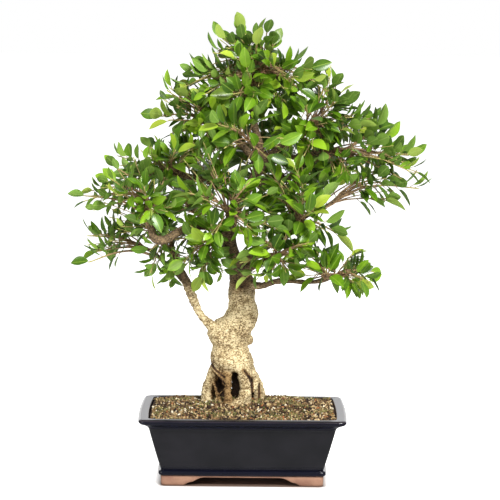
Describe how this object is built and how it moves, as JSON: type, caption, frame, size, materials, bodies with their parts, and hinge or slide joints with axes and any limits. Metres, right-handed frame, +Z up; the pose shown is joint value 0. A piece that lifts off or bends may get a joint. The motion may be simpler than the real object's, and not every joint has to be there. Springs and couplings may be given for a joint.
{
  "type": "potted ficus bonsai tree",
  "caption": "Ficus bonsai with a curved trunk on exposed roots and open leafy limbs, planted in a rectangular glazed pot with a flared rim and bare clay feet.",
  "frame": {"origin": "middle of the whole object's box, on the surface that the pot's feet stand on", "axes": "+Z up, +X to the right and -Y towards the viewer in the picture"},
  "size_m": [0.7308, 0.3952, 0.9366],
  "materials": {
    "glazed_pot": "near-black navy glaze, bare pinkish clay at the feet",
    "screen_mesh": "matte plastic mesh",
    "soil_mix": "loose grit of fired clay, pumice and bark",
    "bark": "smooth pale bark",
    "foliage": "waxy leaves on green twigs"
  },
  "bodies": {
    "root": {"pot": "glazed_pot", "drain_screen_left": "screen_mesh", "drain_screen_right": "screen_mesh", "soil": "soil_mix", "tree": "bark", "shoot_01": "foliage", "shoot_02": "foliage", "shoot_03": "foliage", "shoot_04": "foliage", "shoot_05": "foliage", "shoot_06": "foliage", "shoot_07": "foliage", "shoot_08": "foliage", "shoot_09": "foliage", "shoot_10": "foliage", "shoot_11": "foliage", "shoot_12": "foliage", "shoot_13": "foliage", "shoot_14": "foliage", "shoot_15": "foliage", "shoot_16": "foliage", "shoot_17": "foliage", "shoot_18": "foliage", "shoot_19": "foliage", "shoot_20": "foliage", "shoot_21": "foliage", "shoot_22": "foliage", "shoot_23": "foliage", "shoot_24": "foliage", "shoot_25": "foliage", "shoot_26": "foliage", "shoot_27": "foliage", "shoot_28": "foliage", "shoot_29": "foliage", "shoot_30": "foliage", "shoot_31": "foliage", "shoot_32": "foliage", "shoot_33": "foliage", "shoot_34": "foliage", "shoot_35": "foliage", "shoot_36": "foliage", "shoot_37": "foliage", "shoot_38": "foliage", "shoot_39": "foliage", "shoot_40": "foliage", "shoot_41": "foliage", "shoot_42": "foliage", "shoot_43": "foliage", "shoot_44": "foliage", "shoot_45": "foliage", "shoot_46": "foliage", "shoot_47": "foliage", "shoot_48": "foliage", "shoot_49": "foliage", "shoot_50": "foliage", "shoot_51": "foliage", "shoot_52": "foliage", "shoot_53": "foliage", "shoot_54": "foliage", "shoot_55": "foliage"}
  },
  "joints": []
}
